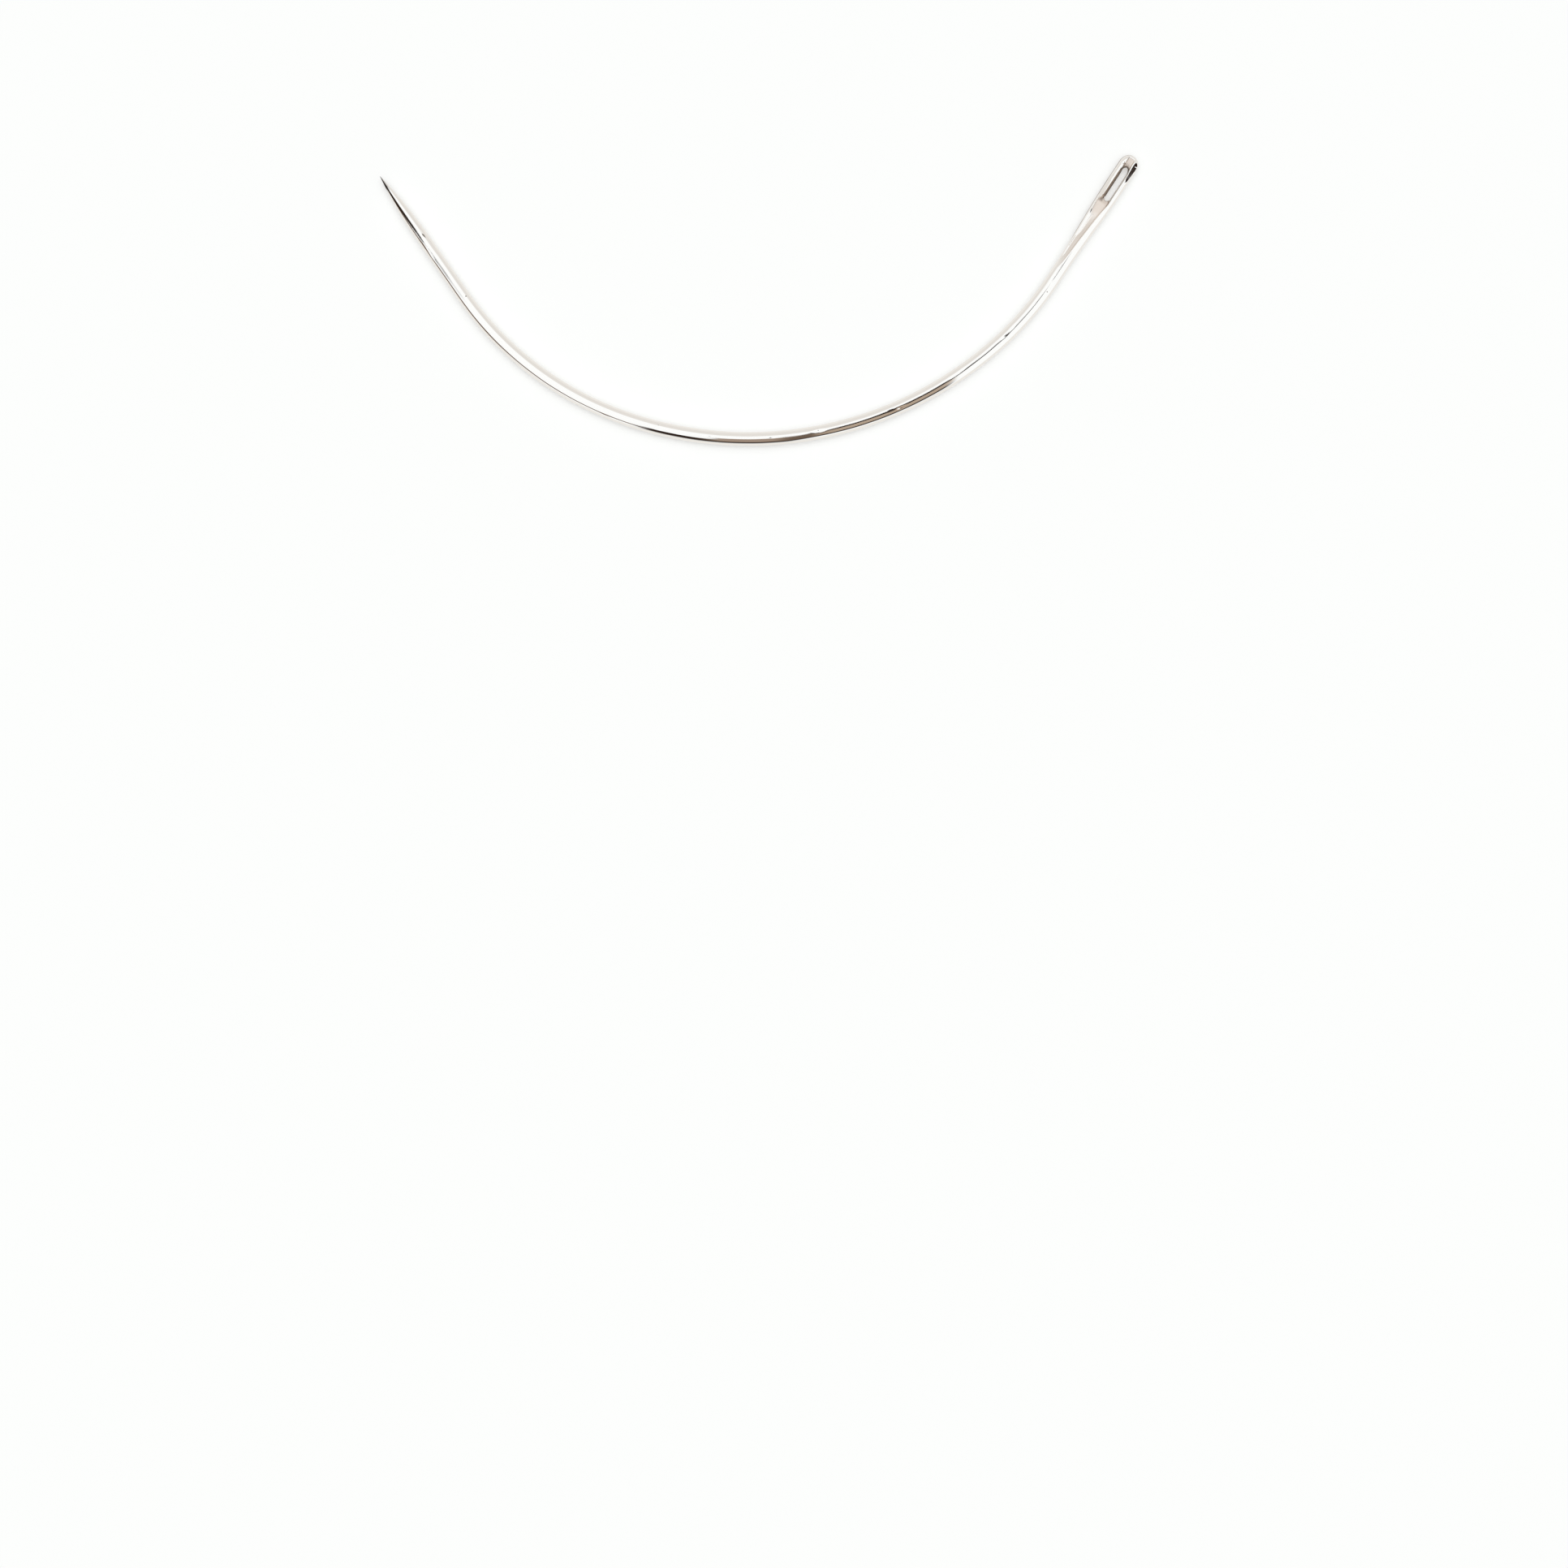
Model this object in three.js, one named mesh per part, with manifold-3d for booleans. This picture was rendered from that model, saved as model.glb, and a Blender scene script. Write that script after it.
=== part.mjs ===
// Curved weaving needle: one length of hardened steel wire, bent to a C, ground to a point
// at one end and pressed flat at the other, where a long eye is pierced between two gutters.
// It lies flat on its flank. Millimetres, +Z up, +X from the point to the head,
// and the mouth of the C towards +Y.

import * as THREE from "three";
import { mergeVertices } from "three/addons/utils/BufferGeometryUtils.js";
import Module from "manifold-3d";

// Wire and bend, from the tip to the end of the head
const WIRE_DIAMETER = 1.2;
const POINT_LEG = 12.6;
const SHOULDER_RADIUS = 28;
const POINT_SHOULDER_TURN = THREE.MathUtils.degToRad(34.5);
const MIDDLE_RADIUS = 32.1;
const MIDDLE_TURN = THREE.MathUtils.degToRad(63.3);
const EYE_SHOULDER_TURN = THREE.MathUtils.degToRad(14);
const EYE_LEG = 12.6;

// Point: a full, bullet-like grind, then a long slight taper up to the wire
const POINT_LENGTH = 6.6;
const POINT_FULLNESS = 2.1;
const NECK_DIAMETER = 1.08;
const NECK_TAPER = 16;

// Head: the wire is spread sideways and pressed flat above and below
const HEAD_WIDTH = 1.7;
const HEAD_THICKNESS = 0.94;
const SPREAD_LENGTH = 8.4;
const PRESS_LENGTH = 5.6;
const NOSE_LENGTH = 0.92;

// Eye, and the wall left between it and the end of the head
const EYE_LENGTH = 3.4;
const EYE_WIDTH = 0.78;
const EYE_HEEL_RADIUS = 0.16;
const CROWN_WALL = 1.12;

// Gutters that lead the thread into the eye, above and below alike
const GUTTER_LENGTH = 5.2;
const GUTTER_WIDTH = 0.7;
const GUTTER_TOE_WIDTH = 0.5;
const GUTTER_WEB = 0.36;
const GUTTER_TOE_DEPTH = 0.14;

// Short thread grooves over the crown, above and below alike
const CROWN_GROOVE_LENGTH = 0.66;
const CROWN_GROOVE_WIDTH = 0.56;
const CROWN_GROOVE_TOE_WIDTH = 0.4;
const CROWN_GROOVE_DEPTH = 0.2;
const CROWN_GROOVE_TOE_DEPTH = 0.1;

// Facets
const SECTION_SIDES = 24;
const BEND_STEP = 1.5;
const ROUND_STEPS = 8;
const NECK_STEPS = 2;
const HEAD_STEPS = 16;
const CUT_STEPS = 4;

const { smoothstep, lerp } = THREE.MathUtils;
const wireRadius = WIRE_DIAMETER / 2;
const neckRadius = NECK_DIAMETER / 2;

// Centreline of the wire: straight legs joined by arcs that all turn to the left
function bendWire() {
  const path = new THREE.Path();
  path.moveTo(0, 0);
  let heading = 0;
  const straight = (length) => {
    const { x, y } = path.currentPoint;
    path.lineTo(x + length * Math.cos(heading), y + length * Math.sin(heading));
  };
  const bend = (radius, turn) => {
    const { x, y } = path.currentPoint;
    const from = heading - Math.PI / 2;
    path.absarc(x - radius * Math.cos(from), y - radius * Math.sin(from), radius, from, from + turn);
    heading += turn;
  };
  straight(POINT_LEG);
  bend(SHOULDER_RADIUS, POINT_SHOULDER_TURN);
  bend(MIDDLE_RADIUS, MIDDLE_TURN);
  bend(SHOULDER_RADIUS, EYE_SHOULDER_TURN);
  straight(EYE_LEG);
  return path;
}

const centreline = bendWire();
const wireLength = centreline.getLength();
const noseStart = wireLength - NOSE_LENGTH;
const eyeTop = wireLength - CROWN_WALL;
const eyeHeel = eyeTop - EYE_LENGTH;
const spreadEnd = (eyeTop + eyeHeel) / 2;

// Half sizes of the wire at a distance from the tip: round radius, half width and the
// half thickness that the press leaves
function sectionAt(distance) {
  const ground = Math.max(0, 1 - distance / POINT_LENGTH);
  const taper = smoothstep(distance, POINT_LENGTH, POINT_LENGTH + NECK_TAPER);
  const radius = lerp(neckRadius, wireRadius, taper) * (1 - ground ** POINT_FULLNESS);
  const spread = smoothstep(distance, spreadEnd - SPREAD_LENGTH, spreadEnd);
  const press = smoothstep(distance, eyeHeel - PRESS_LENGTH, eyeHeel);
  const alongNose = Math.max(0, distance - noseStart) / NOSE_LENGTH;
  const nose = Math.sqrt(1 - alongNose ** 2);
  return {
    radius: radius * nose,
    halfWidth: lerp(radius, HEAD_WIDTH / 2, spread) * nose,
    halfThickness: lerp(radius, HEAD_THICKNESS / 2, press) * nose,
  };
}

// Distances from the tip at which the wire gets a section, closer where it changes more
function stations() {
  const marks = [0, POINT_LENGTH, POINT_LEG, wireLength - EYE_LEG, eyeHeel, noseStart];
  const steps = [ROUND_STEPS, NECK_STEPS, null, HEAD_STEPS, ROUND_STEPS];
  const found = [];
  steps.forEach((count, zone) => {
    const from = marks[zone];
    const to = marks[zone + 1];
    const parts = count ?? Math.ceil((to - from) / BEND_STEP);
    for (let part = 0; part < parts; part += 1) found.push(lerp(from, to, part / parts));
  });
  for (let part = 0; part < ROUND_STEPS; part += 1) {
    found.push(noseStart + NOSE_LENGTH * Math.sin((Math.PI / 2) * (part / ROUND_STEPS)));
  }
  return found.slice(1);
}

// Wire blank: sections with a flat side above and below, lofted along the centreline
function wireBlank() {
  const positions = [];
  const faces = [];
  const flatToCorner = 1 / Math.cos(Math.PI / SECTION_SIDES);
  const place = (distance, across, height) => {
    const point = centreline.getPoint(distance / wireLength);
    const along = centreline.getTangent(distance / wireLength);
    positions.push(point.x - along.y * across, point.y + along.x * across, height);
  };
  const rings = stations();
  rings.forEach((distance) => {
    const { radius, halfWidth, halfThickness } = sectionAt(distance);
    for (let side = 0; side < SECTION_SIDES; side += 1) {
      const angle = (2 * Math.PI * (side + 0.5)) / SECTION_SIDES;
      const round = radius * flatToCorner * Math.sin(angle);
      place(
        distance,
        halfWidth * flatToCorner * Math.cos(angle),
        THREE.MathUtils.clamp(round, -halfThickness, halfThickness),
      );
    }
  });
  const tip = positions.length / 3;
  place(0, 0, 0);
  place(wireLength, 0, 0);
  const lastRing = (rings.length - 1) * SECTION_SIDES;
  for (let side = 0; side < SECTION_SIDES; side += 1) {
    const next = (side + 1) % SECTION_SIDES;
    faces.push(tip, next, side);
    faces.push(tip + 1, lastRing + side, lastRing + next);
    for (let start = 0; start < lastRing; start += SECTION_SIDES) {
      const ahead = start + SECTION_SIDES;
      faces.push(start + side, ahead + next, ahead + side);
      faces.push(start + side, start + next, ahead + next);
    }
  }
  const geometry = new THREE.BufferGeometry();
  geometry.setAttribute("position", new THREE.Float32BufferAttribute(positions, 3));
  geometry.setIndex(faces);
  return geometry;
}

// Places a cutter, drawn along +X from a point on the head's axis, in the bent wire's frame
function onHead(geometry, distance) {
  const point = centreline.getPoint(distance / wireLength);
  geometry.rotateZ(centreline.getTangent(1).angle());
  return geometry.translate(point.x, point.y, 0);
}

function extrude(outline, depth) {
  return new THREE.ExtrudeGeometry(outline, { depth, bevelEnabled: false, curveSegments: CUT_STEPS });
}

// Eye: a slot right through, with a round top and a squarer heel
function eyeCutter() {
  const half = EYE_WIDTH / 2;
  const heel = EYE_HEEL_RADIUS;
  const outline = new THREE.Shape();
  outline.moveTo(heel, -half);
  outline.lineTo(EYE_LENGTH - half, -half);
  outline.absarc(EYE_LENGTH - half, 0, half, -Math.PI / 2, Math.PI / 2);
  outline.lineTo(heel, half);
  outline.absarc(heel, half - heel, heel, Math.PI / 2, Math.PI);
  outline.absarc(heel, heel - half, heel, Math.PI, 1.5 * Math.PI);
  const depth = 2 * WIRE_DIAMETER;
  return onHead(extrude(outline, depth).translate(0, 0, -depth / 2), eyeHeel);
}

// Groove with a round toe, drawn along +X from the eye. Its floor climbs from floorStart to
// floorEnd, both measured from the middle of the wire
function grooveCutter({ length, width, toeWidth, floorStart, floorEnd }) {
  const toe = toeWidth / 2;
  const back = -EYE_LENGTH / 4;
  const widen = (width - toeWidth) / 2 / (length - toe);
  const backHalf = width / 2 - widen * back;
  const outline = new THREE.Shape();
  outline.moveTo(back, -backHalf);
  outline.lineTo(length - toe, -toe);
  outline.absarc(length - toe, 0, toe, -Math.PI / 2, Math.PI / 2);
  outline.lineTo(back, backHalf);
  const climb = Math.atan2(floorEnd - floorStart, length);
  return extrude(outline, WIRE_DIAMETER).rotateY(-climb).translate(0, 0, floorStart);
}

// Gutter from the eye towards the wire; a roll of half a turn puts it on the underside
function gutterCutter(roll) {
  const toe = sectionAt(eyeHeel - GUTTER_LENGTH);
  const cutter = grooveCutter({
    length: GUTTER_LENGTH,
    width: GUTTER_WIDTH,
    toeWidth: GUTTER_TOE_WIDTH,
    floorStart: GUTTER_WEB / 2,
    floorEnd: toe.halfThickness - GUTTER_TOE_DEPTH,
  });
  return onHead(cutter.rotateZ(Math.PI).rotateX(roll), eyeHeel);
}

// Thread groove from the eye over the crown, rolled the same way
function crownGrooveCutter(roll) {
  const cutter = grooveCutter({
    length: CROWN_GROOVE_LENGTH,
    width: CROWN_GROOVE_WIDTH,
    toeWidth: CROWN_GROOVE_TOE_WIDTH,
    floorStart: HEAD_THICKNESS / 2 - CROWN_GROOVE_DEPTH,
    floorEnd: HEAD_THICKNESS / 2 - CROWN_GROOVE_TOE_DEPTH,
  });
  return onHead(cutter.rotateX(roll), eyeTop);
}

const wasm = await Module();
wasm.setup();

function toSolid(geometry) {
  geometry.deleteAttribute("normal");
  geometry.deleteAttribute("uv");
  const { index, attributes } = mergeVertices(geometry);
  const triVerts = Uint32Array.from(index.array);
  return new wasm.Manifold(
    new wasm.Mesh({ numProp: 3, vertProperties: attributes.position.array, triVerts }),
  );
}

function toGeometry(solid) {
  const { vertProperties, triVerts } = solid.getMesh();
  const geometry = new THREE.BufferGeometry();
  geometry.setAttribute("position", new THREE.BufferAttribute(vertProperties, 3));
  geometry.setIndex(new THREE.BufferAttribute(triVerts, 1));
  return geometry;
}

// Chord from the tip to the head along +X, lowest flank on Z = 0, middle of the outline at 0, 0
function layFlat(geometry) {
  const chord = centreline.getPoint(1).sub(centreline.getPoint(0));
  geometry.rotateZ(-chord.angle());
  geometry.computeBoundingBox();
  const middle = geometry.boundingBox.getCenter(new THREE.Vector3());
  return geometry.translate(-middle.x, -middle.y, -geometry.boundingBox.min.z);
}

const bothSides = [0, Math.PI];
const cuts = [eyeCutter(), ...bothSides.map(gutterCutter), ...bothSides.map(crownGrooveCutter)];
const pressed = cuts.reduce((solid, cut) => solid.subtract(toSolid(cut)), toSolid(wireBlank()));

const nickelPlate = new THREE.MeshStandardMaterial({
  color: 0xcfc9c3,
  roughness: 0.14,
  metalness: 1,
});

const needle = new THREE.Mesh(layFlat(toGeometry(pressed)), nickelPlate);
needle.name = "needle";
needle.geometry.computeVertexNormals();

const weavingNeedle = new THREE.Group();
weavingNeedle.name = "curved_weaving_needle";
weavingNeedle.add(needle);

export default weavingNeedle;
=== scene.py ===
import math

import bpy
from mathutils import Matrix, Vector


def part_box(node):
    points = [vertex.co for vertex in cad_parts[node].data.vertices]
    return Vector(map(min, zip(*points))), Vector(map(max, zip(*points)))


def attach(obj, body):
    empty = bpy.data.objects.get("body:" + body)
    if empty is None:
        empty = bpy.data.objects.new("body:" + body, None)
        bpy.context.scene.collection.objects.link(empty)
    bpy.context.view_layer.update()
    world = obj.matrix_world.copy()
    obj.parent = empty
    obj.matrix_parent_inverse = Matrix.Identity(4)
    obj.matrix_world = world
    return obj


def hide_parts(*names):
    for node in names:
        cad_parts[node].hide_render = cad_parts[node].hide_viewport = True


mm = 0.001  # the frame is in metres, the needle's own sizes are in millimetres

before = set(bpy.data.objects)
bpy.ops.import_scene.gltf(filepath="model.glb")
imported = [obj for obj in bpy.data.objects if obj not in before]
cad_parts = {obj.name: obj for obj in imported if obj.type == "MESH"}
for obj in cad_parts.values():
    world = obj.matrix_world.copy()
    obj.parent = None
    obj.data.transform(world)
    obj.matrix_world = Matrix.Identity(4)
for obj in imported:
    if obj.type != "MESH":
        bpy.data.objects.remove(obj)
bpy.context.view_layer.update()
needleLow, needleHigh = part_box("needle")
scene = bpy.context.scene
scene.view_settings.view_transform = "Standard"
print("frame loaded, nodes:", len(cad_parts))


def blend(first, second, share):
    return first + (second - first) * share


def ramp(value, low, high):
    return min(1, max(0, (value - low) / (high - low)))


def smooth(value, low, high):
    share = ramp(value, low, high)
    return share * share * (3 - 2 * share)


def steps(low, high, step):
    count = max(1, round((high - low) / step))
    return [blend(low, high, index / count) for index in range(count)]


# One socket of a shader, so that shader maths reads as Python
class Signal:
    def __init__(self, tree, socket=None):
        self.tree = tree
        self.socket = socket

    def node(self, kind, settings=None, sockets=None, out=0):
        made = self.tree.nodes.new("ShaderNode" + kind)
        for name, value in (settings or {}).items():
            setattr(made, name, value)
        for name, value in (sockets or {}).items():
            if isinstance(value, Signal):
                self.tree.links.new(value.socket, made.inputs[name])
            else:
                made.inputs[name].default_value = value
        return Signal(self.tree, made.outputs[out] if made.outputs else None)

    def maths(self, operation, *values):
        return self.node("Math", {"operation": operation}, dict(enumerate(values)))

    def __add__(self, other):
        return self.maths("ADD", self, other)

    def __radd__(self, other):
        return self.maths("ADD", other, self)

    def __sub__(self, other):
        return self.maths("SUBTRACT", self, other)

    def __rsub__(self, other):
        return self.maths("SUBTRACT", other, self)

    def __mul__(self, other):
        return self.maths("MULTIPLY", self, other)

    def __rmul__(self, other):
        return self.maths("MULTIPLY", other, self)

    def __truediv__(self, other):
        return self.maths("DIVIDE", self, other)

    def __abs__(self):
        return self.maths("ABSOLUTE", self)

    def parts(self):
        split = self.node("SeparateXYZ", None, {0: self})
        outputs = split.socket.node.outputs
        return [Signal(self.tree, output) for output in outputs]

    # 0 below low, 1 above high, and an S curve between them
    def ease(self, low, high):
        settings = {"interpolation_type": "SMOOTHSTEP"}
        return self.node("MapRange", settings, {"Value": self, "From Min": low, "From Max": high})

    # 1 between low and high, with soft edges
    def within(self, low, high, soft):
        return (self - low).ease(-soft, soft) * (high - self).ease(-soft, soft)

    def greater(self, other):
        return self.maths("MAXIMUM", self, other)

    def stretch(self, scale):
        return self.node("VectorMath", {"operation": "MULTIPLY"}, {0: self, 1: scale})

    def distance(self, place):
        return self.node("VectorMath", {"operation": "DISTANCE"}, {0: self, 1: place}, "Value")

    def noise(self, detail):
        return self.node("TexNoise", None, {"Vector": self, "Scale": 1, "Detail": detail})

    # colour first where this is 0, second where it is 1
    def colours(self, first, second):
        return self.node("Mix", {"data_type": "RGBA"}, {0: self, 6: first, 7: second}, 2)


def newShader(name):
    material = bpy.data.materials.new(name)
    material.use_nodes = True
    material.node_tree.nodes.clear()
    return material, Signal(material.node_tree)


# Needle: one wire, bent, ground to a point and pressed to an eye
needle = {
    "diameter": 1.2,
    "legs": (12.6, 12.6),  # straight, at the point and at the eye
    "bends": ((28, 34.5), (32.1, 63.3), (28, 14)),  # radius and degrees, from the point
    "pointLength": 6.6,
    "pointFullness": 2.1,
    "neckDiameter": 1.08,
    "neckTaper": 16,
    "headWidth": 1.7,
    "headThickness": 0.94,
    "spreadLength": 8.4,
    "pressLength": 5.6,
    "noseLength": 0.92,
    "eyeLength": 3.4,
    "crownWall": 1.12,
    "rim": 0.05,  # width of the rounded edges of the groove
    "rimDrop": 0.6,  # depth of those edges, as a share of their width
    "rimReach": 0.82,  # most of the half width that the groove takes up
    "gather": (3, 0.3),  # before the groove, where the columns of the mesh draw together for it
    "runIn": 1.2,  # lengths over which the groove comes and goes
    "runOut": 0.15,
    "fineness": 2,  # subdivision levels
}
# The groove through gutter, saddle, eye and crown: distance from the heel of the eye, offsets of
# inner rim, valley, foot and outer rim, heights of valley and foot, and how dull its floor and its
# foot are, with painted shade: 0 polished, 1 pressed and painted darker, 2 torn and painted darkest
groove = (
    (-7.2, 0.40, 0.37, 0.25, 0.22, 0.47, 0.54, 0, 0.8),
    (-5.2, 0.55, 0.5, 0.07, 0.05, 0.33, 0.53, 0.6, 1.3),
    (-4.0, 0.58, 0.54, 0.0, -0.03, 0.28, 0.49, 0.6, 1.4),
    (-3.6, 0.6, 0.35, -0.05, -0.08, 0.25, 0.48, 0.6, 1.4),
    (-1.75, 0.62, 0.32, -0.2, -0.23, 0.22, 0.42, 0.6, 1.2),
    (-1.2, 0.66, 0.58, -0.26, -0.29, 0.26, 0.36, 1, 1),
    (-0.35, 0.65, 0.6, -0.38, -0.42, 0.24, 0.28, 1, 1),
    (0, 0.45, 0.24, -0.3, -0.4, 0.12, 0.12, 0.9, 0.9),
    (0.06, 0.42, 0.17, -0.29, -0.4, 0.06, 0.06, 1.5, 1.5),
    (3.1, 0.41, 0.17, -0.29, -0.4, 0.06, 0.06, 1.5, 1.5),
    (3.4, 0.36, 0.24, -0.28, -0.33, 0.24, 0.24, 2, 2),
    (3.6, 0.31, 0.27, -0.25, -0.28, 0.3, 0.3, 1, 1),
    (4.3, 0.29, 0.25, -0.23, -0.26, 0.29, 0.29, 1, 1),
)
quarter = 9  # columns from the side of the wire to its top
sides = 4 * quarter
floorShares = (0, 0.25, 0.5, 0.75, 1)  # columns across the floor of the groove
firstRim = quarter - 3  # columns of the two rims
lastRim = quarter + 3
flank = firstRim - 1  # steps from the side of the wire to the groove's edge

arcs = [(radius, math.radians(turn)) for radius, turn in needle["bends"]]
wireLength = sum(needle["legs"]) + sum(radius * turn for radius, turn in arcs)
noseStart = wireLength - needle["noseLength"]
eyeTop = wireLength - needle["crownWall"]
eyeHeel = eyeTop - needle["eyeLength"]
gutterStart = eyeHeel + groove[0][0]
crownEnd = eyeHeel + groove[-1][0]
spreadEnd = (eyeTop + eyeHeel) / 2
roundness = 3 / (2 + math.cos(2 * math.pi / sides))  # makes up for what subdivision takes off


# Place and heading on the centreline, at a distance from the tip
def onWire(distance):
    x = min(distance, needle["legs"][0])
    y = heading = 0
    left = distance - x
    for radius, turn in arcs:
        angle = min(turn, left / radius)
        x += radius * (math.sin(heading + angle) - math.sin(heading))
        y += radius * (math.cos(heading) - math.cos(heading + angle))
        heading += angle
        left -= radius * angle
    return x + left * math.cos(heading), y + left * math.sin(heading), heading


endX, endY, endHeading = onWire(wireLength)


# Round radius, half width and half thickness of the wire
def sectionAt(distance):
    neck = smooth(distance, needle["pointLength"], needle["pointLength"] + needle["neckTaper"])
    ground = max(0, 1 - distance / needle["pointLength"]) ** needle["pointFullness"]
    radius = blend(needle["neckDiameter"], needle["diameter"], neck) / 2 * (1 - ground)
    spread = smooth(distance, spreadEnd - needle["spreadLength"], spreadEnd)
    press = smooth(distance, eyeHeel - needle["pressLength"], eyeHeel)
    nose = math.sqrt(1 - (max(0, distance - noseStart) / needle["noseLength"]) ** 2)
    halfWidth = blend(radius, needle["headWidth"] / 2, spread)
    halfThickness = blend(radius, needle["headThickness"] / 2, press)
    return [size * nose * roundness for size in (radius, halfWidth, halfThickness)]


def grooveAt(distance):
    place = distance - eyeHeel
    before, after = groove[:2]
    for nextRow in groove[2:]:
        if place > after[0]:
            before, after = after, nextRow
    share = ramp(place, before[0], after[0])
    return [blend(first, second, share) for first, second in zip(before[1:], after[1:])]


# Columns over the top of the section, from the mouth side to the outer side: offset, height and
# dullness
def halfRing(distance):
    radius, halfWidth, halfThickness = sectionAt(distance)
    innerRim, valley, foot, outerRim, *rest = grooveAt(distance)
    valleyHeight, footHeight, dullness, footDullness = rest
    gatherFrom, gatherTo = needle["gather"]
    headness = smooth(distance, gutterStart - gatherFrom, gutterStart - gatherTo)
    cut = smooth(distance, gutterStart, gutterStart + needle["runIn"])
    cut *= 1 - smooth(distance, crownEnd - needle["runOut"], crownEnd)
    rim = needle["rim"]
    fit = min(1, needle["rimReach"] * halfWidth / max(innerRim + rim, rim - outerRim))
    innerAngle = math.acos(fit * (innerRim + rim) / halfWidth)
    outerAngle = math.acos(fit * (outerRim - rim) / halfWidth)
    offsets = [blend(valley, foot, share) for share in floorShares]
    heights = [blend(valleyHeight, footHeight, share) for share in floorShares]
    half = []
    for column in range(2 * quarter + 1):
        angle = math.pi * column / (2 * quarter)
        if firstRim <= column <= lastRim:
            place = column - firstRim
            across = (innerRim, *offsets, outerRim)[place]
            across = blend(halfWidth * math.cos(angle), fit * across, headness)
            surface = min(halfThickness, radius * math.sqrt(1 - (across / halfWidth) ** 2))
            edge = surface - needle["rimDrop"] * rim
            bottom = (edge, *heights, edge)[place]
            touched = (0, max(0, 2 * dullness - 1), *[dullness] * 3, footDullness, 0)[place]
            half.append((across, blend(surface, min(surface, bottom), cut), cut * touched))
            continue
        if column < firstRim:
            headAngle = innerAngle * column / flank
        else:
            headAngle = math.pi - (math.pi - outerAngle) * (2 * quarter - column) / flank
        angle = blend(angle, headAngle, headness)
        half.append((halfWidth * math.cos(angle), min(halfThickness, radius * math.sin(angle)), 0))
    return half


# How far each column is drawn back where an end of the eye is rounded
eyeBow = (0, 0, 0.01, 0.03, 0.08, 0.2, 0.32, 0.32, 0.06, 0)


# Points of a ring and their dullness. The underside matches the top
def fullRing(distance, bow):
    half = halfRing(distance)
    ring = []
    for side in range(sides):
        column = min(side, sides - side)
        across, height, dullness = half[column]
        if side > 2 * quarter:
            height = -height
        back = bow * eyeBow[min(column, 2 * quarter - column)]
        ring.append(((distance - back, across, height), dullness))
    return ring


# Rings stand closer together where the shape changes faster. Those at the heel and the top of the
# eye have their distance from it, and how round the eye is there
ringPlaces = {
    "point": (0.008, 0.022, 0.05, 0.09, 0.15, 0.22, 0.31),  # shares of its length
    "pointRest": 0.41,  # share from which the rings stand evenly
    "wireStep": 0.6,
    "gutterLead": 0.3,
    "gutterStep": 0.45,
    "saddle": (-1.75, -1.6, -1.42, -1.25, -1.05, -0.7, -0.4, -0.25),  # from the heel
    "beforeHeel": (-0.12, -0.35),
    "heel": ((0, -0.7), (0.08, -0.7), (0.2, -0.5)),
    "eyeLead": 0.45,
    "eyeStep": 0.5,
    "beforeTop": (-0.5, 0.15),
    "top": ((0, 1), (0.13, 0.5), (0.3, 0.15), (0.46, 0)),
    "crown": (-0.3, -0.15, 0),  # from the end of its grooves
    "nose": (0.83, 0.9, 0.95, 0.985),  # shares of its length
}


def ringPlan():
    pointEnd = needle["pointLength"]
    gutterLead = gutterStart - ringPlaces["gutterLead"]
    plan = [pointEnd * share for share in ringPlaces["point"]]
    plan += steps(pointEnd * ringPlaces["pointRest"], pointEnd, ringPlaces["wireStep"])
    plan += steps(pointEnd, gutterLead, ringPlaces["wireStep"])
    plan += steps(gutterLead, eyeHeel + ringPlaces["saddle"][0], ringPlaces["gutterStep"])
    plan += [eyeHeel + place for place in ringPlaces["saddle"]]
    rings = [(distance, 0) for distance in plan]
    place, bow = ringPlaces["beforeHeel"]
    rings.append((eyeHeel + place, bow))
    heel = len(rings)
    rings += [(eyeHeel + place, bow) for place, bow in ringPlaces["heel"]]
    place, bow = ringPlaces["beforeTop"]
    eyeRings = steps(eyeHeel + ringPlaces["eyeLead"], eyeTop + place, ringPlaces["eyeStep"])
    rings += [(distance, 0) for distance in eyeRings]
    rings.append((eyeTop + place, bow))
    top = len(rings)
    rings += [(eyeTop + place, bow) for place, bow in ringPlaces["top"]]
    rings += [(crownEnd + place, 0) for place in ringPlaces["crown"]]
    rings += [(noseStart + needle["noseLength"] * share, 0) for share in ringPlaces["nose"]]
    return rings, heel, top


# From the straight wire to the bent one: distance from the tip, towards the mouth, up
def bendPoint(point):
    distance, across, height = point
    x, y, heading = onWire(distance)
    return (x - math.sin(heading) * across, y + math.cos(heading) * across, height)


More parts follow.
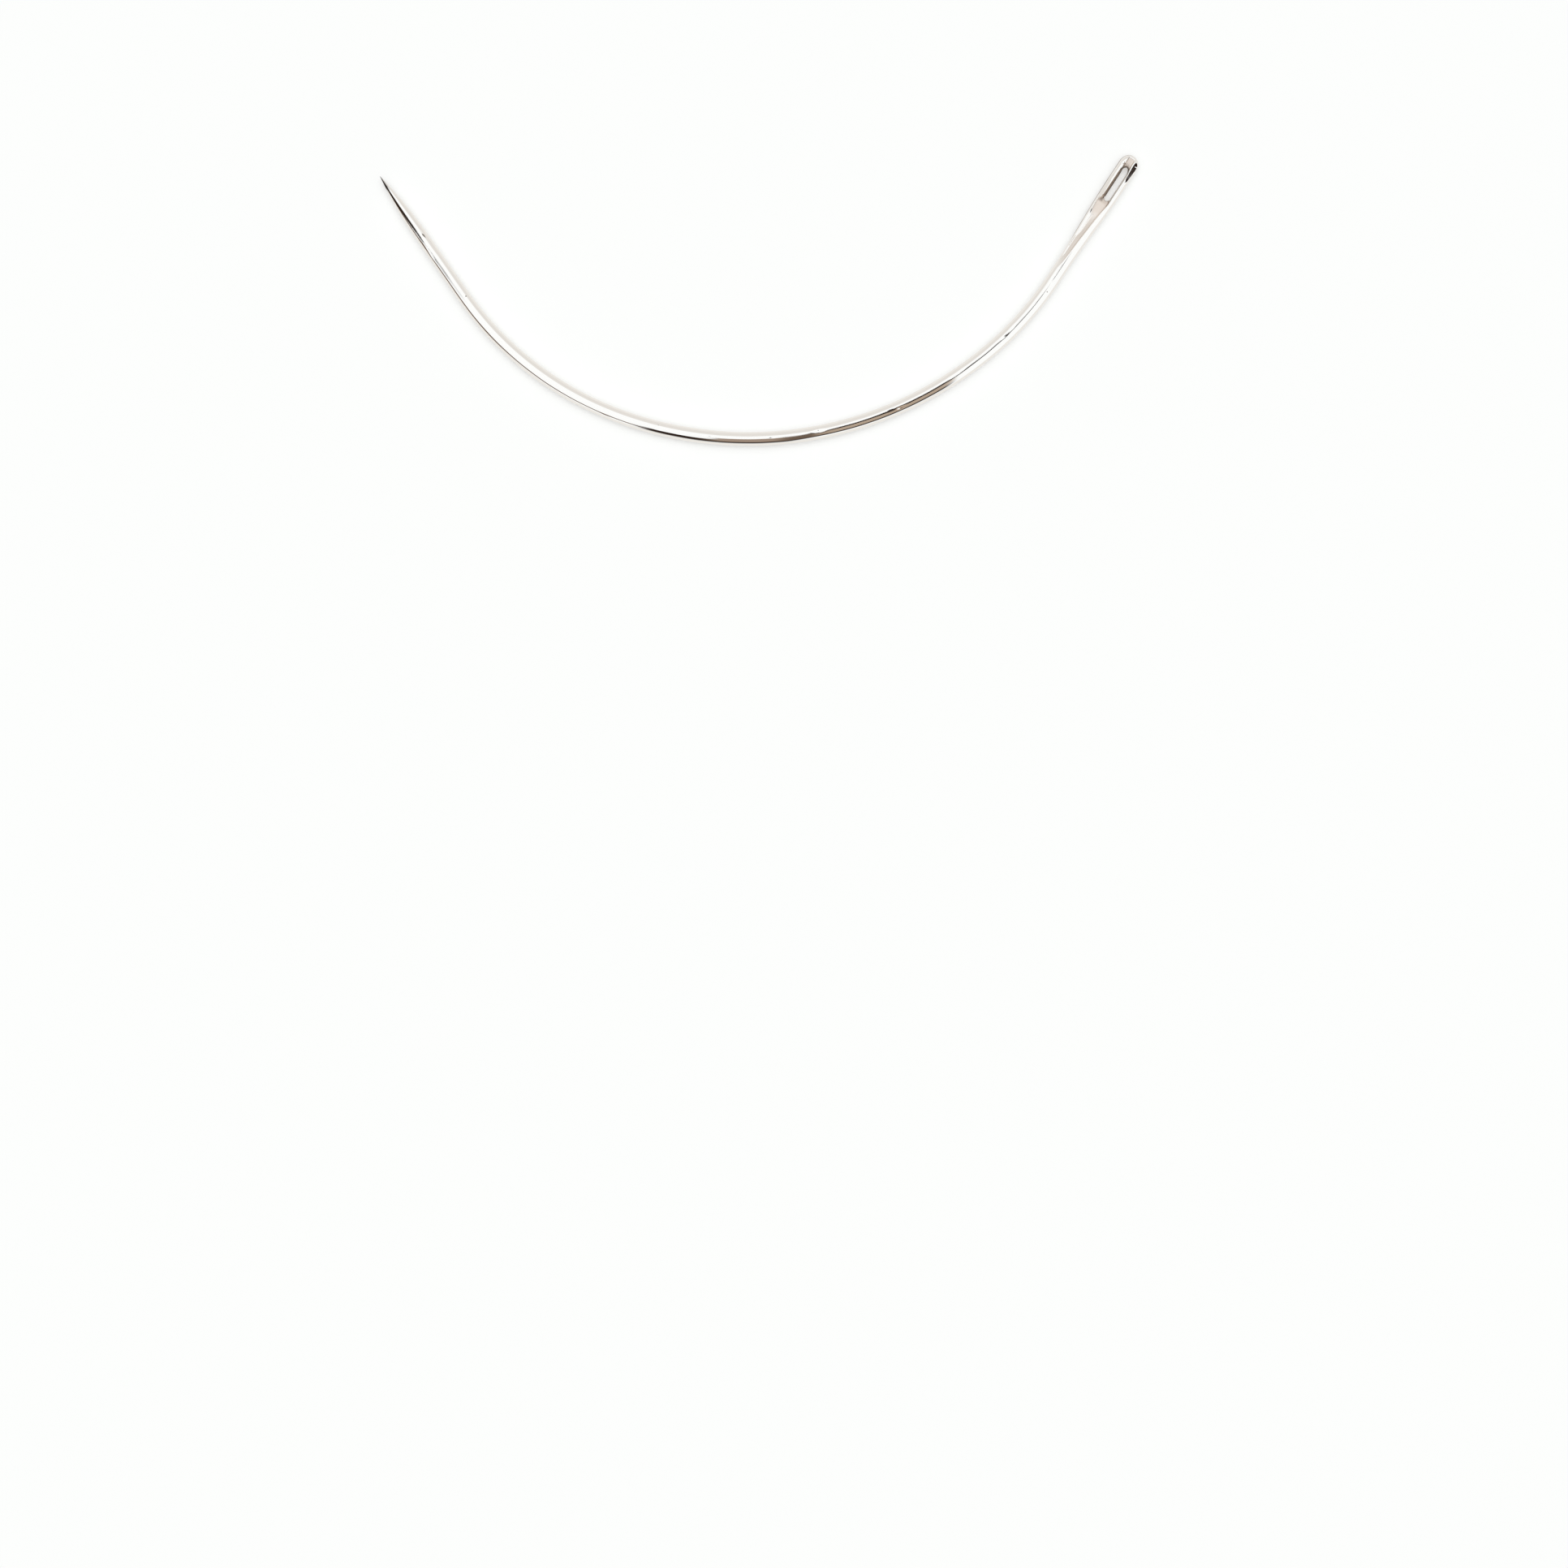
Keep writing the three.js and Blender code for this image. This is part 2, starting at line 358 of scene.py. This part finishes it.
def buildNeedle():
    rings, heel, top = ringPlan()
    straight = [(0, 0, 0)]
    dullness = [0]
    for distance, bow in rings:
        for point, dullAndShaded in fullRing(distance, bow):
            straight.append(point)
            dullness.append(dullAndShaded)

    def face(*corners):
        return [1 + ring * sides + side % sides for ring, side in corners]

    faces = [[0] + face((0, side + 1), (0, side)) for side in range(sides)]
    eyeSides = range(firstRim + 1, lastRim - 1)  # the eye takes up the floor of the groove
    for ring in range(len(rings) - 1):
        ahead = ring + 1
        inEye = heel <= ring < top
        for side in range(sides):
            if inEye and side % (2 * quarter) in eyeSides:
                continue
            faces.append(face((ring, side), (ring, side + 1), (ahead, side + 1), (ahead, side)))
        if inEye:  # the two long walls of the eye
            for side in (eyeSides[0], eyeSides[-1] + 1):
                wall = face((ring, side), (ahead, side), (ahead, -side), (ring, -side))
                faces.append(wall[::-1] if side < quarter else wall)
    for side in eyeSides:  # the ends of the eye
        for ring, turned in ((heel, False), (top, True)):
            wall = face((ring, side), (ring, side + 1), (ring, -side - 1), (ring, -side))
            faces.append(wall[::-1] if turned else wall)
    last = len(rings) - 1
    for side in range(2 * quarter):  # the nose is closed from above to below
        wall = face((last, side), (last, side + 1), (last, -side - 1), (last, -side))
        faces.append(list(dict.fromkeys(wall)))

    mesh = bpy.data.meshes.new("cage")
    mesh.from_pydata([bendPoint(point) for point in straight], [], faces)
    mesh.update()
    along = mesh.attributes.new("straight", "FLOAT_VECTOR", "POINT")
    along.data.foreach_set("vector", [value for point in straight for value in point])
    mesh.attributes.new("dullAndShaded", "FLOAT", "POINT").data.foreach_set("value", dullness)
    cage = bpy.data.objects.new("cage", mesh)
    scene.collection.objects.link(cage)
    smoothing = cage.modifiers.new("smoothing", "SUBSURF")
    smoothing.levels = needle["fineness"]
    smoothing.render_levels = needle["fineness"]
    smoothed = cage.evaluated_get(bpy.context.evaluated_depsgraph_get())
    fine = bpy.data.meshes.new_from_object(smoothed)
    bpy.data.objects.remove(cage)
    bpy.data.meshes.remove(mesh)
    return fine


# Marks of the wheel, the bending rolls and wear: distance from the tip, degrees round the wire
# from the mouth side, half length in mm, half width in degrees, depth in mm
marks = (
    (6.3, 70, 0.5, 14, 0.02),
    (7.0, 112, 0.6, 12, -0.012),
    (7.5, 60, 0.6, 11, 0.014),
    (8.4, 121, 0.5, 11, 0.01),
    (28.6, 122, 0.5, 12, 0.008),
    (37.9, 86, 0.2, 8, 0.006),
    (43.1, 86, 0.15, 8, 0.006),
    (47.1, 84, 0.33, 11, 0.036),
    (53.6, 92, 0.45, 9, 0.012),
    (54.45, 104, 0.32, 9, 0.03),
    (60.1, 58, 0.5, 16, 0.02),
    (60.0, 79, 0.7, 11, 0.022),
    (65.2, 90, 0.35, 8, 0.012),
    (66.3, 80, 0.3, 9, 0.01),
    (77.1, 160, 0.8, 16, 0.01),
    (81.6, 168, 0.4, 14, 0.012),
    (83.27, 50, 0.11, 11, 0.05),
)
markEnd = 2.5  # half lengths from its middle at which a mark has faded away

# Flats rubbed on the straightened wire: a point of each, the direction that it faces, half length
flats = (
    ((80.75, 0.625, 0.345), (-0.03, 0.61, 0.792), 0.6),
    ((82.95, -0.6, 0.354), (0.04, -0.53, 0.847), 0.65),
    ((83.85, -0.52, 0.345), (0.12, -0.5, 0.858), 1),
)
flatFade = 0.4

# Long shallow waves: height, radians for each mm along, waves round the wire, and the start
waves = ((0.0012, 0.9, 2, 0), (0.0008, 2.3, -3, 1))
polishedOff = 0.002  # keeps the waves inside the wire


# The wire isn't perfectly round: it has the waves, the marks and the flats
def wear(mesh):
    straight = mesh.attributes["straight"].data
    normals = [vertex.normal.copy() for vertex in mesh.vertices]
    for vertex, normal, attribute in zip(mesh.vertices, normals, straight):
        place = attribute.vector.copy()
        distance, across, height = place
        turn = math.atan2(height, across)
        rise = sum(
            swell * math.sin(distance * lengthways + around * turn + start)
            for swell, lengthways, around, start in waves
        )
        rise -= polishedOff
        for centre, degrees, halfLength, halfWidth, depth in marks:
            along = (distance - centre) / halfLength
            if abs(along) < markEnd:
                around = (math.degrees(turn) - degrees) / halfWidth
                rise -= depth * math.exp(-along * along - around * around)
        for point, facing, halfLength in flats:
            above = (place - Vector(point)).dot(facing)
            above *= 1 - smooth(abs(distance - point[0]), halfLength, halfLength + flatFade)
            if above > 0:
                place -= above * Vector(facing)
                vertex.co = bendPoint(place)
        vertex.co += normal * rise
    mesh.update()


# Chord along X, on the floor, and in the middle of the CAD needle's box
def layFlat(mesh):
    mesh.transform(Matrix.Rotation(-math.atan2(endY, endX), 4, "Z"))
    mesh.transform(Matrix.Scale(mm, 4))
    low = Vector(min(vertex.co[axis] for vertex in mesh.vertices) for axis in range(3))
    high = Vector(max(vertex.co[axis] for vertex in mesh.vertices) for axis in range(3))
    mesh.transform(Matrix.Translation((needleLow + needleHigh) / 2 - (low + high) / 2))
    mesh.shade_smooth()


fineMesh = buildNeedle()
wear(fineMesh)
layFlat(fineMesh)
fineMesh.name = "needle_plated"
needlePiece = bpy.data.objects.new("needle_plated", fineMesh)
scene.collection.objects.link(needlePiece)
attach(needlePiece, "root")
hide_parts("needle")
print("needle built:", len(fineMesh.vertices), "vertices")


# Nickel plate over drawn and ground steel. Lines, clouds and scratches each have the stretch of
# their noise, along the wire, across it and up, its detail, and how much rougher they make the
# plate
plate = {
    "colour": (0.84, 0.8, 0.755, 1),
    # Pressed faces: their roughness is real, their darker beige colour is painted shade and
    # reflection
    "pressedAndShadedColour": (0.675, 0.59, 0.52, 1),
    # Torn walls of the eye: rough cut for real, and painted dark as the shade inside the eye
    "tornAndShadedColour": (0.3, 0.25, 0.21, 1),
    "pitColour": (0.2, 0.16, 0.13, 1),
    "tipDarkReflectionColour": (0.07, 0.05, 0.04, 1),  # painted dark reflection on one side of the tip
    "tipDarkReflectionLength": 1.7,
    "tipDarkReflectionFade": 0.6,
    "tipDarkReflectionSide": (0.03, 0.06),  # edge and its softness
    "mouthEdgeShadeColour": (0.2, 0.15, 0.12, 1),  # painted reflection of shade along the mouth side of the head
    "mouthEdgeShadeStart": (74.5, 2),  # distance from the tip, and the length over which it comes
    "mouthEdgeShadeHalf": (0.25, 0.08),  # half width and its softness
    "mouthEdgeShadeSide": (0.1, 0.3),
    "mouthEdgeShadeLeast": 0.3,
    "roughness": 0.05,
    "pressedRoughness": 0.36,
    "lines": ((0.3, 14, 14), 3, 0.05),
    "clouds": ((0.5, 1.2, 1.2), 2, 0.04),
    "scratches": ((9, 3, 3), 3, 0.06),
    "scratchedLength": (9.5, 2.5),  # from the tip, and how far they fade there
    "noiseMiddle": 0.5,
    "lineRelief": 0.4,
    "scratchRelief": 1.6,
    "reliefHeight": 0.0000015,  # metres
    "pitEdge": 0.03,
    "pitSide": (0, 0.1),  # pits are on the upper side
    "pits": (  # place and radius
        (6.31, 0.158, 0.065),
        (6.4, 0.168, 0.085),
        (6.5, 0.18, 0.08),
        (6.6, 0.19, 0.06),
        (6.68, 0.196, 0.045),
        (12.8, 0.16, 0.07),
        (33.2, 0.2, 0.04),
        (57.5, -0.33, 0.04),
        (70.5, -0.2, 0.06),
        (82.0, 0.55, 0.035),
    ),
}


def nickelPlate():
    material, sheet = newShader("nickelPlate")
    straight = sheet.node("Attribute", {"attribute_name": "straight"}, None, "Vector")
    dullAndShaded = sheet.node("Attribute", {"attribute_name": "dullAndShaded"}, None, "Fac")
    distance, across, height = straight.parts()

    lineStretch, lineDetail, lineRoughness = plate["lines"]
    lines = straight.stretch(lineStretch).noise(lineDetail)
    cloudStretch, cloudDetail, cloudRoughness = plate["clouds"]
    clouds = straight.stretch(cloudStretch).noise(cloudDetail)
    scratchStretch, scratchDetail, scratchRoughness = plate["scratches"]
    scratchEnd, scratchFade = plate["scratchedLength"]
    scratches = straight.stretch(scratchStretch).noise(scratchDetail)
    scratches = scratches * (scratchEnd - distance).ease(0, scratchFade)
    middle = plate["noiseMiddle"]
    roughness = plate["roughness"] + lineRoughness * (lines - middle)
    roughness = roughness + cloudRoughness * (clouds - middle) + scratchRoughness * scratches
    roughness = roughness + (plate["pressedRoughness"] - plate["roughness"]) * dullAndShaded

    # Pressed faces: rougher for real, and painted darker and beige as shade and reflection in the
    # groove
    pressedAndShaded = dullAndShaded.maths("MINIMUM", dullAndShaded, 1)
    colour = pressedAndShaded.colours(plate["colour"], plate["pressedAndShadedColour"])
    # Torn walls of the eye: rough cut for real, and painted dark as the shade inside the eye
    colour = (dullAndShaded - pressedAndShaded).colours(colour, plate["tornAndShadedColour"])
    upperSide = height.ease(*plate["pitSide"])
    for pitDistance, pitAcross, pitRadius in plate["pits"]:
        away = straight.stretch((1, 1, 0)).distance((pitDistance, pitAcross, 0))
        pit = (pitRadius - away).ease(0, plate["pitEdge"]) * upperSide
        colour = pit.colours(colour, plate["pitColour"])

    # Painted dark reflection on one side of the tip, as if it mirrored the dark room
    tipDarkReflectionEdge, tipDarkReflectionSoft = plate["tipDarkReflectionSide"]
    tipDarkReflection = (plate["tipDarkReflectionLength"] - distance).ease(0, plate["tipDarkReflectionFade"])
    tipDarkReflection = tipDarkReflection * (tipDarkReflectionEdge - across).ease(-tipDarkReflectionSoft, tipDarkReflectionSoft)
    colour = tipDarkReflection.colours(colour, plate["tipDarkReflectionColour"])

    # Painted reflection of shade along the mouth side of the head, where its edge mirrors the floor
    # in its own shadow
    mouthEdgeShadeStart, mouthEdgeShadeComing = plate["mouthEdgeShadeStart"]
    mouthEdgeShadeHalf, mouthEdgeShadeSoft = plate["mouthEdgeShadeHalf"]
    mouthEdgeShade = (mouthEdgeShadeHalf - abs(height)).ease(0, mouthEdgeShadeSoft) * across.ease(*plate["mouthEdgeShadeSide"])
    mouthEdgeShade = mouthEdgeShade * (distance - mouthEdgeShadeStart).ease(0, mouthEdgeShadeComing) * (plate["mouthEdgeShadeLeast"] + clouds)
    colour = mouthEdgeShade.colours(colour, plate["mouthEdgeShadeColour"])

    relief = lines * plate["lineRelief"] + scratches * plate["scratchRelief"]
    bump = sheet.node("Bump", None, {
        "Strength": 1, "Distance": plate["reliefHeight"], "Height": relief,
    })
    surface = sheet.node("BsdfPrincipled", None, {
        "Base Color": colour, "Metallic": 1, "Roughness": roughness, "Normal": bump,
    })
    sheet.node("OutputMaterial", None, {"Surface": surface})
    return material


fineMesh.materials.clear()
fineMesh.materials.append(nickelPlate())
print("nickel plate made")


# Camera straight above, where the photograph's frame puts the tip and the end of the head
view = {
    "frame": 1932,  # pixels along each side of the photograph
    "tip": (467.7, 216.6),
    "headEnd": (1397.2, 193),
    "lens": 85,
    "sensor": 36,
    "clip": (0.01, 10),
}
spanX = view["headEnd"][0] - view["tip"][0]
spanY = view["tip"][1] - view["headEnd"][1]
chordTurn = math.atan2(spanY, spanX)  # how far the needle is turned in the picture
pointHeading = chordTurn - math.atan2(endY, endX)
headHeading = pointHeading + endHeading


def placeCamera():
    leftmost = min((vertex.co for vertex in fineMesh.vertices), key=lambda place: place.x)
    tip = Vector((needleLow.x, leftmost.y, (needleLow.z + needleHigh.z) / 2))
    scale = math.hypot(endX, endY) * mm / math.hypot(spanX, spanY)
    middle = view["frame"] / 2
    toMiddle = Vector((middle - view["tip"][0], view["tip"][1] - middle, 0)) * scale
    toMiddle.rotate(Matrix.Rotation(-chordTurn, 3, "Z"))
    distance = view["frame"] * scale * view["lens"] / view["sensor"]
    data = bpy.data.cameras.new("camera")
    data.lens = view["lens"]
    data.sensor_width = view["sensor"]
    data.clip_start, data.clip_end = view["clip"]
    camera = bpy.data.objects.new("camera", data)
    scene.collection.objects.link(camera)
    camera.location = tip + toMiddle + Vector((0, 0, distance))
    camera.rotation_euler = (0, 0, -chordTurn)
    scene.camera = camera


placeCamera()
print("camera placed")


# Pale floor, with a faint warm shadow left on it
floor = {
    "side": 3.0,
    "colour": (0.855, 0.885, 0.885, 1),
    "white": (1, 0.975, 0.95, 1),
    "whiteShare": 0.42,
}


def layFloor():
    half = floor["side"] / 2
    corners = [(-half, -half, 0), (half, -half, 0), (half, half, 0), (-half, half, 0)]
    mesh = bpy.data.meshes.new("floor")
    mesh.from_pydata(corners, [], [(0, 1, 2, 3)])
    sheetOfPaper = bpy.data.objects.new("floor", mesh)
    scene.collection.objects.link(sheetOfPaper)
    material, sheet = newShader("palePaper")
    seen = sheet.node("LightPath", None, None, "Is Camera Ray")
    mirrored = sheet.node("LightPath", None, None, "Is Glossy Ray")
    paper = sheet.node("BsdfDiffuse", None, {"Color": floor["colour"]})
    white = sheet.node("Emission", None, {"Color": floor["white"], "Strength": 1})
    share = floor["whiteShare"] * (seen + mirrored)
    surface = sheet.node("MixShader", None, {0: share, 1: paper, 2: white})
    sheet.node("OutputMaterial", None, {"Surface": surface})
    mesh.materials.append(material)


layFloor()
print("floor laid")


# Studio: soft light from above, more of it from the back and the right. The metal mirrors a white
# tent that has a greyer skirt and gaps at the front and the sides, with a dark room behind them.
# Places are the east and north parts of a direction. At the front, slant is east for each unit
# south of the apex, and reach is the distance from the apex. Soft values are half of an edge
studio = {
    "light": 3.395,
    "lightFall": 4,  # power of the up part
    "sideLight": (0.2, 0.4),  # more of it for each unit east and north
    "backdrop": (1, 1, 1, 1),
    "tent": (1.17, 1.23, 1.28, 1),
    "skirt": (0.91, 0.91, 0.9, 1),
    "dark": (0.032, 0.019, 0.013, 1),
    "skirtTop": 0.194,
    "skirtRise": (0.207, 1.016),  # for each unit east and north
    "skirtSoft": 0.12,
    "apex": 0.194,
    "apexFade": 0.02,
    "leastBelow": 0.001,  # keeps slant from a division by 0
    "seam": (1.079, 0.064),  # reach and half width of the hem, left of the front gap
    "seamFade": 0.03,
    "seamSlants": (-2.3, -0.253, 0.05),  # from, to and soft
    "seamColour": (0.17, 0.11, 0.075, 1),
    "lens": (0.124, -0.018, 0.11),  # place and radius
    "lensSoft": 0.015,
    "gaps": ((0.175, 0.33), (0.18, 0.75)),  # past point and head: starts beyond it, and out
    "gapSoft": (0.02, 0.04),  # beyond and out
    "gapLean": 3.3,  # the foot of a gap comes down beyond the needle's end
    "gapFoot": (1.14, 1.26),
    "gapBack": (0.2, 0.03),  # north end and soft
    "frontEdges": (-0.303, 0.624),  # slants
    "frontStep": (-0.112, 0.833, 0.05),  # left edge short of this reach, the reach, and soft
    "frontTop": 0.361,
    "frontTopEnd": (0.15, 0.1),  # slant right of which the opening goes up to the apex, and fade
    "frontSill": (1.194, 1.135),  # left and right
    "sillSlants": (0.08, 0.2),
    "frontSoft": (0.03, 0.04),  # slant and reach
    "panes": (  # slants, reaches and colour
        ((-0.115, 0.15), (0.2, 1.058), (0.4, 0.315, 0.255, 1)),
        ((0.12, 0.738), (0.404, 0.98), (0.52, 0.425, 0.34, 1)),
        ((0.075, 0.185), (0.2, 1.058), (0.165, 0.12, 0.09, 1)),
    ),
    "paneSoft": (0.04, 0.05),  # slant and reach
}


# What the metal mirrors, in each direction
def tentColour(flat, east, north, up):
    below = studio["apex"] - north
    belowApex = below.ease(0, studio["apexFade"])
    slant = east / below.greater(studio["leastBelow"])
    reach = flat.distance((0, studio["apex"], 0))

    riseEast, riseNorth = studio["skirtRise"]
    skirtSoft = studio["skirtSoft"]
    skirtEdge = studio["skirtTop"] + riseEast * east + riseNorth * north
    colour = (up - skirtEdge).ease(-skirtSoft, skirtSoft).colours(studio["skirt"], studio["tent"])

    seamReach, seamHalf = studio["seam"]
    seam = (seamHalf - abs(reach - seamReach)).ease(0, studio["seamFade"])
    seam = seam * slant.within(*studio["seamSlants"]) * belowApex
    colour = seam.colours(colour, studio["seamColour"])

    beyondSoft, outSoft = studio["gapSoft"]
    backEnd, backSoft = studio["gapBack"]
    for heading, (edge, outEdge) in zip((pointHeading + math.pi, headHeading), studio["gaps"]):
        beyond = math.cos(heading) * east + math.sin(heading) * north
        out = abs(math.cos(heading) * north - math.sin(heading) * east)
        gap = (beyond - edge).ease(-beyondSoft, beyondSoft) * (out - outEdge).ease(-outSoft, outSoft)
        gap = gap * (up + studio["gapLean"] * beyond).ease(*studio["gapFoot"])
        gap = gap * (backEnd - north).ease(-backSoft, backSoft)
        colour = gap.colours(colour, studio["dark"])

    placeEast, placeNorth, size = studio["lens"]
    lensSoft = studio["lensSoft"]
    away = flat.distance((placeEast, placeNorth, 0))
    colour = (size - away).ease(-lensSoft, lensSoft).colours(colour, studio["dark"])

    low, high = studio["frontEdges"]
    stepIn, stepReach, stepSoft = studio["frontStep"]
    leftEdge = low + (stepIn - low) * (stepReach - reach).ease(-stepSoft, stepSoft)
    topEnd, topFade = studio["frontTopEnd"]
    top = studio["frontTop"] * (topEnd - slant).ease(0, topFade)
    sillLeft, sillRight = studio["frontSill"]
    sill = sillLeft + (sillRight - sillLeft) * slant.ease(*studio["sillSlants"])
    slantSoft, reachSoft = studio["frontSoft"]
    opening = slant.within(leftEdge, high, slantSoft) * reach.within(top, sill, reachSoft) * belowApex
    room = studio["dark"]
    slantSoft, reachSoft = studio["paneSoft"]
    for slants, reaches, paneColour in studio["panes"]:
        pane = slant.within(*slants, slantSoft) * reach.within(*reaches, reachSoft)
        room = pane.colours(room, paneColour)
    return opening.colours(colour, room)


def lightStudio():
    world = bpy.data.worlds.new("studio")
    scene.world = world
    world.use_nodes = True
    world.node_tree.nodes.clear()
    sheet = Signal(world.node_tree)
    direction = sheet.node("TexCoord", None, None, "Generated")
    turned = {"Vector": direction, "Angle": chordTurn}
    direction = sheet.node("VectorRotate", {"rotation_type": "Z_AXIS"}, turned)
    east, north, up = direction.parts()
    colour = tentColour(direction.stretch((1, 1, 0)), east, north, up)

    mirrored = sheet.node("LightPath", None, None, "Is Glossy Ray")
    seen = sheet.node("LightPath", None, None, "Is Camera Ray")
    overhead = sheet.maths("POWER", up.greater(0), studio["lightFall"])
    moreEast, moreNorth = studio["sideLight"]
    level = studio["light"] * overhead * (1 + moreEast * east + moreNorth * north)
    light = sheet.node("Background", None, {"Color": level})
    tent = sheet.node("Background", None, {"Color": colour})
    backdrop = sheet.node("Background", None, {"Color": studio["backdrop"]})
    lit = sheet.node("MixShader", None, {0: mirrored, 1: light, 2: tent})
    mixed = sheet.node("MixShader", None, {0: seen, 1: lit, 2: backdrop})
    sheet.node("OutputWorld", None, {"Surface": mixed})


lightStudio()
print("studio lit")
